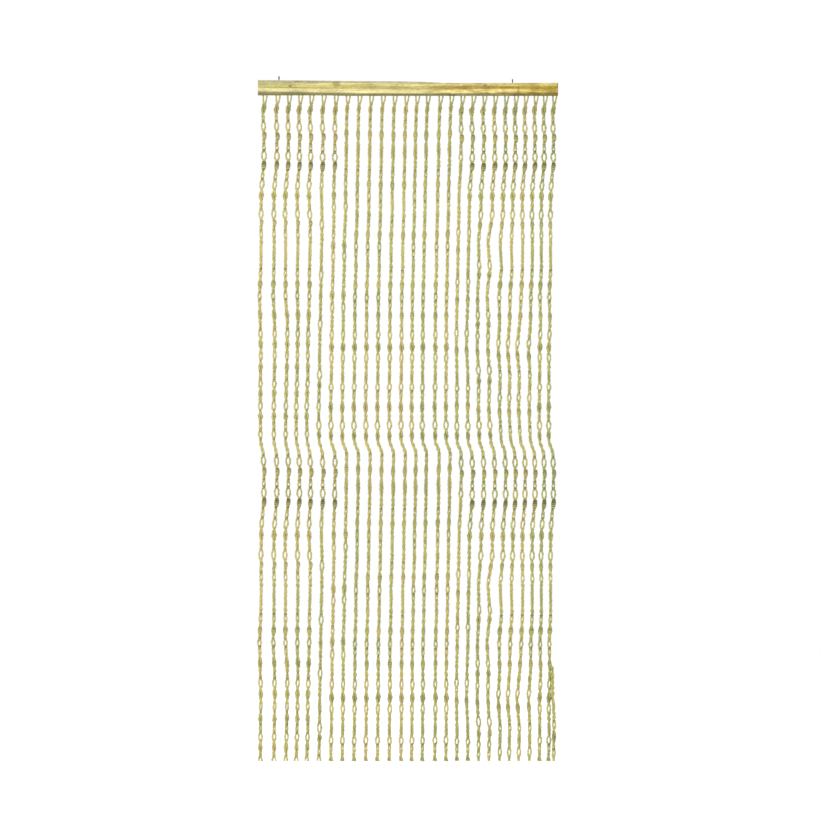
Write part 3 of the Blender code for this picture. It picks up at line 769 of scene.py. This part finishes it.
def sweep(item, tree, material, sides=CORD_SIDES, flatness=CORD_FLATNESS):
    """Turn drawn lines into one plain mesh of closed skins of a material."""
    values = {"Material": material, "Cord Sides": sides, "Cord Flatness": flatness}
    modifier = item.modifiers.new("sweep", "NODES")
    modifier.node_group = tree
    for socket in tree.interface.items_tree:
        if socket.name in values:
            modifier[socket.identifier] = values[socket.name]
    bpy.context.view_layer.update()
    graph = bpy.context.evaluated_depsgraph_get()
    mesh = bpy.data.meshes.new_from_object(item.evaluated_get(graph),
                                           preserve_all_data_layers=True, depsgraph=graph)
    item.modifiers.remove(modifier)
    lines = item.data
    item.data = mesh
    mesh.name = item.name
    bpy.data.meshes.remove(lines)
    for spent in ("thickness", "turn", "part"):
        if spent in mesh.attributes:
            mesh.attributes.remove(mesh.attributes[spent])
    bm = bmesh.new()
    bm.from_mesh(mesh)
    bmesh.ops.recalc_face_normals(bm, faces=bm.faces[:])
    bm.to_mesh(mesh)
    bm.free()


def make_strand(number, tree, husk):
    """One strand: its two cords, the strips wound round its knots, and its stray fibres."""
    chance = random.Random(STRAND_SEED + number)
    tint = chance.uniform(*STRAND_TINTS)
    features = strand_features(number, chance)
    lines = [(CORD, cord) for cord in cord_pair(number, features, chance)]
    lines += [(STRIP, winding(number, row, *WINDINGS[row["kind"]], chance))
              for row in features if row["kind"] in WINDINGS]
    fibres = round(FIBRES * (STRAND_LENGTH - cord_start(number)) / STRAND_LENGTH)
    lines += [(FIBRE, stray_fibre(number, features, chance)) for _ in range(fibres)]
    item = draw_lines(f"strand_{number:02d}", lines, tint)
    sweep(item, tree, husk)
    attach(item, "root")
    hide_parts("strands_left" if number <= TAPE_PARTING_STRAND else "strands_right")


def shader_tree(name, **settings):
    """A new material, its tree and its shader, which already shows, with its settings."""
    material = bpy.data.materials.new(name)
    material.use_nodes = True
    shader = material.node_tree.nodes["Principled BSDF"]
    for setting, value in settings.items():
        shader.inputs[setting.replace("_", " ")].default_value = value
    return material, material.node_tree, shader


def finish_shader(tree, shader, colour, roughness, height, strength, distance):
    """Give a shader its colour and its roughness, and raise its grain."""
    bump = add_node(tree, "ShaderNodeBump", Strength=strength, Distance=distance, Height=height)
    feed(tree, shader.inputs["Base Color"], colour)
    feed(tree, shader.inputs["Roughness"], roughness)
    feed(tree, shader.inputs["Normal"], bump.outputs["Normal"])


def mix_colour(tree, factor, low, high, mode="MIX"):
    """Mix of two colours, each a colour or a link, by a factor."""
    made = add_node(tree, "ShaderNodeMix", [("data_type", "RGBA"), ("blend_type", mode)])
    feed(tree, made.inputs[0], factor)
    for socket, colour in ((made.inputs[6], low), (made.inputs[7], high)):
        plain = isinstance(colour, tuple)
        feed(tree, socket, (*colour, 1.0) if plain else colour)
    return made.outputs[2]


def graded(tree, colour, *steps):
    """A colour that gives way to the next one by each step's factor."""
    for factor, following in steps:
        colour = mix_colour(tree, factor, colour, following)
    return colour


def span(tree, value, low, high, out_low=0.0, out_high=1.0):
    """Value's way from LOW to HIGH, held at the ends."""
    made = add_node(tree, "ShaderNodeMapRange", [("interpolation_type", "SMOOTHSTEP")],
                    Value=value, From_Min=low, From_Max=high,
                    To_Min=out_low, To_Max=out_high)
    return made.outputs["Result"]


def calculate(tree, operation, *values):
    """A sum on links and numbers."""
    made = add_node(tree, "ShaderNodeMath", [("operation", operation)])
    for socket, value in zip(made.inputs, values):
        feed(tree, socket, value)
    return made.outputs[0]


def product(tree, value, *others):
    """Links and numbers multiplied together."""
    for other in others:
        value = calculate(tree, "MULTIPLY", value, other)
    return value


def noise(tree, place, factors, detail=3.0, roughness=0.6):
    """Soft noise at a place scaled by a factor along each axis."""
    scaled = add_node(tree, "ShaderNodeMapping", Vector=place, Scale=factors)
    made = add_node(tree, "ShaderNodeTexNoise", Vector=scaled.outputs["Vector"],
                    Scale=1.0, Detail=detail, Roughness=roughness)
    return made.outputs["Fac"]


def attribute(tree, name, output="Fac"):
    """One of the piece's own attributes."""
    return add_node(tree, "ShaderNodeAttribute", [("attribute_name", name)]).outputs[output]


def dry_husk():
    """Dry husk: straw to olive and tan, streaked along the cord, darkened by painted shade where it
    is tied and where the cords cross.
    """
    material, tree, shader = shader_tree("dry husk", Specular_IOR_Level=0.35)
    around = add_node(tree, "ShaderNodeSeparateXYZ", Vector=attribute(tree, "around", "Vector"))
    grain = add_node(tree, "ShaderNodeCombineXYZ", X=around.outputs["X"], Y=around.outputs["Y"],
                     Z=attribute(tree, "along")).outputs["Vector"]
    fibres = noise(tree, grain, (5.0, 5.0, 60.0), 4.0, 0.65)
    patches = noise(tree, grain, (0.5, 0.5, 38.0), 2.0, 0.55)
    tint = calculate(tree, "ADD", attribute(tree, "tint"),
                     product(tree, calculate(tree, "SUBTRACT", patches, 0.5), 1.1))
    green, olive = (0.478, 0.487, 0.165), (0.645, 0.582, 0.178)
    tan, brown = (0.667, 0.518, 0.217), (0.455, 0.328, 0.162)
    colour = graded(tree, green, (span(tree, tint, 0.10, 0.45), olive),
                    (span(tree, tint, 0.40, 0.75), tan), (span(tree, tint, 0.80, 1.10), brown))
    streak = span(tree, fibres, 0.30, 0.70, 0.62, 1.22)
    streaks = add_node(tree, "ShaderNodeCombineXYZ", X=streak, Y=streak, Z=streak)
    colour = mix_colour(tree, 1.0, colour, streaks.outputs["Vector"], "MULTIPLY")
    # The shade attribute mixes in painted shade at ties, knots and crossings, and the darkness by
    # drop
    colour = mix_colour(tree, product(tree, attribute(tree, "shade"), 0.75), colour,
                        (0.085, 0.080, 0.030))
    finish_shader(tree, shader, colour, span(tree, fibres, 0.3, 0.7, 0.80, 0.58), fibres,
                  0.55, 0.0008)
    return material


def batten_top(x):
    """Level of the batten's top edge at X along it."""
    return between(HEIGHTS, "x", "height", x)


def batten_profile(height, slot, lip):
    """Outline of the batten's section as (y, z) above its foot, its slot SLOT deep."""
    back = BATTEN_DEPTH / 2
    front = -back
    face = front + FACE_SETBACK
    half_slot = TAPE_WIDTH / 2 + CLEARANCE
    inward, upward = GROOVE_ROUND
    outline = [
        (half_slot, slot), (half_slot, 0.0),
        (back - BACK_CHAMFER, 0.0), (back, BACK_CHAMFER),
        (back, height - BACK_CHAMFER), (back - BACK_CHAMFER, height),
        (face + BACK_CHAMFER, height), (face + EDGE_EASE, height - EDGE_EASE),
        (face, height - BACK_CHAMFER),
        (face, GROOVE_LEVEL + GROOVE_HALF_WIDTH),
        (face + GROOVE_DEPTH * inward, GROOVE_LEVEL + GROOVE_HALF_WIDTH * upward),
        (face + GROOVE_DEPTH, GROOVE_LEVEL),
    ]
    for degrees in range(BEAD_HALF_SWEEP, -BEAD_HALF_SWEEP - 1, -BEAD_STEP):
        angle = math.radians(degrees)
        setback = BEAD_RADIUS * (1 - math.cos(angle)) * BEAD_FLATNESS
        outline.append((front + setback, BEAD_LEVEL + BEAD_RADIUS * math.sin(angle)))
    return outline + [(front + FOOT_SETBACK, -lip), (-half_slot, 0.0), (-half_slot, slot)]


def finish_piece(name, bm, sections, material, node):
    """Close a row of sections into a piece that rides on the part and stands for a node."""
    size = len(sections[0])
    for near, far in zip(sections, sections[1:]):
        for i in range(size):
            j = (i + 1) % size
            bm.faces.new((near[i], near[j], far[j], far[i]))
    bm.faces.new(sections[0])
    bm.faces.new(sections[-1])
    bmesh.ops.recalc_face_normals(bm, faces=bm.faces[:])
    mesh = bpy.data.meshes.new(name)
    bm.to_mesh(mesh)
    bm.free()
    mesh.materials.append(material)
    item = put(name, mesh)
    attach(item, "root")
    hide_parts(node)


def make_batten(material):
    """The moulded batten with hand-planed faces and a slot for the root tape."""
    chance = random.Random(BATTEN_SEED)
    end = BATTEN_LENGTH / 2
    slot_end = end - TAPE_END_MARGIN + CLEARANCE
    slot_depth = TAPE_HEIGHT + 2 * CLEARANCE
    count = round(2 * slot_end / BATTEN_STEP)
    stations = [(-end, 0.0), (-slot_end - SLOT_END_STEP, 0.0)]
    stations += [(-slot_end + 2 * slot_end * i / count, slot_depth) for i in range(count + 1)]
    stations += [(slot_end + SLOT_END_STEP, 0.0), (end, 0.0)]
    waves = [(chance.uniform(*PLANED_LENGTHS), chance.uniform(*PLANED_PHASES))
             for _ in range(PLANED_WAVES)]
    bm = bmesh.new()
    level = bm.verts.layers.float.new("level")
    below_top = bm.verts.layers.float.new("below_top")
    sections = []
    for x, slot in stations:
        section = []
        lip = between(FOOT_LIPS, "x", "sink", x)
        for i, (y, z) in enumerate(batten_profile(batten_top(x), slot, lip)):
            length, phase = waves[i % len(waves)]
            planed = HAND_PLANED * math.sin(math.tau * x / length + phase)
            worn = planed if z > BACK_CHAMFER and abs(x) < slot_end else 0.0
            point = bm.verts.new((x, y + worn * (y < 0), BATTEN_FOOT + z))
            # Level for the bands of painted shade and highlight, raised or lowered along the batten
            point[level] = z - between(PAINTED_BAND_RISES, "x", "rise", x)
            point[below_top] = batten_top(x) - z
            section.append(point)
        sections.append(section)
    finish_piece("batten", bm, sections, material, "headrail")


def varnished_pine():
    """Varnished pine: grain along the batten, straw at the left and golden at the right."""
    material, tree, shader = shader_tree("varnished pine", Specular_IOR_Level=0.25,
                                         Coat_Weight=0.06, Coat_Roughness=0.25)
    place = tree.nodes.new("ShaderNodeTexCoord").outputs["Object"]
    apart = add_node(tree, "ShaderNodeSeparateXYZ", Vector=place)
    x = apart.outputs["X"]
    level, below_top = attribute(tree, "level"), attribute(tree, "below_top")
    moulded = span(tree, apart.outputs["Y"], -0.0030, 0.0010, 1.0, 0.0)
    grain = noise(tree, place, (5.0, 160.0, 190.0), 5.0)
    fine = noise(tree, place, (22.0, 900.0, 900.0))
    patches = noise(tree, place, (16.0, 25.0, 60.0), 2.0, 0.55)
    mottle = noise(tree, place, (95.0, 150.0, 320.0))
    blotches = noise(tree, place, (34.0, 60.0, 150.0))
    right = span(tree, x, 0.00, 0.14)
    far_right = span(tree, x, 0.20, 0.42)
    face = graded(tree, (0.450, 0.425, 0.175), (span(tree, x, -0.40, -0.22), (0.610, 0.535, 0.225)),
                  (right, (0.580, 0.460, 0.135)), (far_right, (0.700, 0.553, 0.132)))
    # The top band: painted shade along the batten's top edge
    top = graded(tree, (0.370, 0.340, 0.215), (right, (0.470, 0.420, 0.210)),
                 (far_right, (0.610, 0.540, 0.250)))
    # The bead band: a painted highlight along the bead, turning darker gold at the far right
    bead = graded(tree, (0.610, 0.557, 0.275), (span(tree, x, -0.36, -0.26), (0.690, 0.630, 0.300)),
                  (right, (0.680, 0.560, 0.210)), (far_right, (0.505, 0.380, 0.078)))
    # The groove band: painted shade in the groove, with the groove's darker grain
    groove = graded(tree, (0.460, 0.400, 0.130), (right, (0.370, 0.262, 0.052)),
                    (far_right, (0.355, 0.243, 0.026)))
    # Colour of the painted shade under the batten's foot, where it faces down
    foot = mix_colour(tree, far_right, (0.225, 0.203, 0.080), (0.200, 0.146, 0.016))
    # Painted shade fading down from the top edge
    colour = mix_colour(tree, span(tree, below_top, 0.0030, 0.0100, 0.85, 0.0), face, top)
    # Painted shade along the groove and a painted highlight along the bead, on the front only
    for band, low, high, strength in ((groove, 0.0175, 0.0280, 0.85), (bead, 0.0072, 0.0170, 1.0)):
        inside = product(tree, span(tree, level, low - 0.0015, low + 0.0015),
                         span(tree, level, high - 0.0020, high + 0.0020, strength, 0.0), moulded)
        colour = mix_colour(tree, inside, colour, band)
    # Painted shade along the foot, a little higher at the far right, on the front only
    lowered = calculate(tree, "SUBTRACT", level, product(tree, far_right, 0.0012))
    foot_shade = product(tree, span(tree, lowered, 0.0030, 0.0092, 1.0, 0.0), moulded)
    colour = mix_colour(tree, foot_shade, colour, foot)
    uneven = product(tree, right, moulded, span(tree, blotches, 0.36, 0.64, -0.26, 0.20))
    streak = product(tree, span(tree, grain, 0.32, 0.68, 0.76, 1.20),
                     span(tree, fine, 0.3, 0.7, 0.90, 1.06),
                     span(tree, patches, 0.35, 0.70, 1.06, 0.84),
                     span(tree, mottle, 0.34, 0.66, 0.86, 1.12),
                     calculate(tree, "ADD", uneven, 1.0))
    streaks = add_node(tree, "ShaderNodeCombineXYZ", X=streak, Y=streak,
                       Z=calculate(tree, "POWER", streak, 1.4))
    colour = mix_colour(tree, 1.0, colour, streaks.outputs["Vector"], "MULTIPLY")
    for knot in WOOD_KNOTS:
        length, height = knot["length"], knot["height"]
        away = add_node(tree, "ShaderNodeMapping", Vector=place,
                        Location=(-knot["x"] / length, 0.0, -knot["z"] / height),
                        Scale=(1 / length, 0.0, 1 / height))
        reach = add_node(tree, "ShaderNodeVectorMath", [("operation", "LENGTH")])
        feed(tree, reach.inputs[0], away.outputs["Vector"])
        ragged = calculate(tree, "ADD", reach.outputs["Value"], product(tree, grain, 0.5))
        colour = mix_colour(tree, span(tree, ragged, 0.5, 1.3, knot["depth"], 0.0), colour,
                            (0.190, 0.140, 0.040))
    finish_shader(tree, shader, colour, span(tree, fine, 0.3, 0.7, 0.46, 0.34), grain,
                  0.25, 0.0004)
    return material


def make_tape(name, node, near, far, material):
    """One length of the root tape, its edges rounded, in the batten's slot."""
    bm = bmesh.new()
    half_width, half_height = TAPE_WIDTH / 2, TAPE_HEIGHT / 2
    level = BATTEN_FOOT + CLEARANCE + half_height
    flat, upright = half_width - TAPE_EDGE, half_height - TAPE_EDGE
    outline = [(-flat, -half_height), (flat, -half_height), (half_width, -upright),
               (half_width, upright), (flat, half_height), (-flat, half_height),
               (-half_width, upright), (-half_width, -upright)]
    count = round((far - near) / TAPE_STEP)
    sections = []
    for i in range(count + 1):
        x = near + (far - near) * i / count
        rise = TAPE_RIPPLE * math.sin(math.tau * x / TAPE_RIPPLE_WAVE)
        sections.append([bm.verts.new((x, y, level + z + rise)) for y, z in outline])
    finish_piece(name, bm, sections, material, node)


def woven_tape():
    """Woven jute tape: a crossed weave in dull straw."""
    material, tree, shader = shader_tree("woven tape")
    place = tree.nodes.new("ShaderNodeTexCoord").outputs["Object"]
    warp, weft = [
        add_node(tree, "ShaderNodeTexWave", [("bands_direction", direction)], Vector=place,
                 Scale=scale, Distortion=0.6).outputs["Fac"]
        for direction, scale in (("Y", 320.0), ("X", 260.0))]
    weave = product(tree, warp, weft)
    colour = mix_colour(tree, weave, (0.160, 0.140, 0.080), (0.420, 0.370, 0.220))
    finish_shader(tree, shader, colour, span(tree, weave, 0.0, 1.0, 0.9, 0.75), weave,
                  0.8, 0.0005)
    return material


def make_screw_eye(eye, tree, material):
    """One bent-wire screw eye, its thread cut into the shank under the ring."""
    ring_centre = eye["neck"] + WIRE_RADIUS + RING_RADIUS
    level = BATTEN_FOOT + batten_top(eye["x"])
    path = []
    for i in range(SHANK_STEPS):
        up = -SHANK_IN_WOOD + (ring_centre - RING_RADIUS + SHANK_IN_WOOD) * i / SHANK_STEPS
        thread = THREAD_DEPTH * math.sin(math.pi * i / THREAD_STEPS) if up < 0 else 0.0
        point = min(1.0, SHANK_POINT + i / SHANK_POINT_STEPS)
        path.append((0.0, up, WIRE_RADIUS * point * (1 + thread)))
    for step in range(RING_STEPS + 1):
        angle = -math.pi / 2 + RING_SWEEP * step / RING_STEPS
        path.append((RING_RADIUS * math.cos(angle), ring_centre + RING_RADIUS * math.sin(angle),
                     WIRE_RADIUS))
    sin_turn, cos_turn = math.sin(eye["turn"]), math.cos(eye["turn"])
    points = [{
        "place": (eye["x"] - out * sin_turn, out * cos_turn, level + up),
        "thickness": radius,
    } for out, up, radius in path]
    item = draw_lines(eye["name"] + "_wire", [(CORD, points)])
    sweep(item, tree, material, WIRE_SIDES, 1.0)
    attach(item, "root")
    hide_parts(eye["name"])


def dark_steel():
    """Blackened steel wire, worn a little brighter in patches."""
    material, tree, shader = shader_tree("dark steel", Metallic=0.60)
    place = tree.nodes.new("ShaderNodeTexCoord").outputs["Object"]
    wear = noise(tree, place, (420.0, 420.0, 420.0), 4.0, 0.7)
    colour = mix_colour(tree, span(tree, wear, 0.50, 0.75), (0.025, 0.026, 0.024),
                        (0.110, 0.105, 0.095))
    finish_shader(tree, shader, colour, span(tree, wear, 0.4, 0.7, 0.55, 0.32), wear,
                  0.3, 0.0002)
    return material


def make_studio():
    """Camera at the photograph's angle, white surroundings, one soft light and a floor."""
    scene = bpy.context.scene
    scene.view_settings.view_transform = "Standard"
    camera = bpy.data.cameras.new("camera")
    camera.sensor_fit = "HORIZONTAL"
    camera.sensor_width = SENSOR
    camera.lens = SENSOR * CAMERA_DISTANCE / (PHOTO_SIDE * PIXEL)
    scene.camera = put("camera", camera)
    half = PHOTO_SIDE / 2
    scene.camera.location = ((half - PHOTO_CENTRE_X) * PIXEL, -CAMERA_DISTANCE,
                             BATTEN_FOOT - (half - FOOT_ROW) * PIXEL)
    scene.camera.rotation_euler = (math.pi / 2, 0, 0)

    scene.world = bpy.data.worlds.new("white room")
    scene.world.use_nodes = True
    room = scene.world.node_tree.nodes["Background"].inputs
    room["Color"].default_value = WHITE
    room["Strength"].default_value = 1.0

    lamp = bpy.data.lights.new("soft light", "AREA")
    lamp.shape = "RECTANGLE"
    lamp.size, lamp.size_y = LAMP_SIZE
    lamp.energy = LAMP_POWER
    stand = put("soft light", lamp)
    stand.location = LAMP_PLACE
    stand.rotation_euler = LAMP_TURN

    mesh = bpy.data.meshes.new("floor")
    far = FLOOR_SIDE / 2
    corners = [(x, y, FLOOR_LEVEL) for x, y in ((-far, -far), (far, -far), (far, far), (-far, far))]
    mesh.from_pydata(corners, [], [(0, 1, 2, 3)])
    material, _, _ = shader_tree(
        "pale floor", Base_Color=WHITE, Roughness=FLOOR_ROUGHNESS, Emission_Color=WHITE,
        Emission_Strength=FLOOR_GLOW)
    mesh.materials.append(material)
    floor = put("floor", mesh)


def make_curtain():
    """Dress every part of the curtain."""
    tree = husk_sweep_tree()
    husk = dry_husk()
    for number in range(1, LOOSE_END + 1):
        make_strand(number, tree, husk)
    make_batten(varnished_pine())
    tape = woven_tape()
    parting = strand_place(TAPE_PARTING_STRAND + 0.5) + TAPE_PARTING_ASIDE
    end = BATTEN_LENGTH / 2 - TAPE_END_MARGIN
    make_tape("root_tape_left", "strands_left", -end, parting - CLEARANCE / 2, tape)
    make_tape("root_tape_right", "strands_right", parting + CLEARANCE / 2, end, tape)
    steel = dark_steel()
    for eye in SCREW_EYES:
        make_screw_eye(eye, tree, steel)


make_studio()
make_curtain()
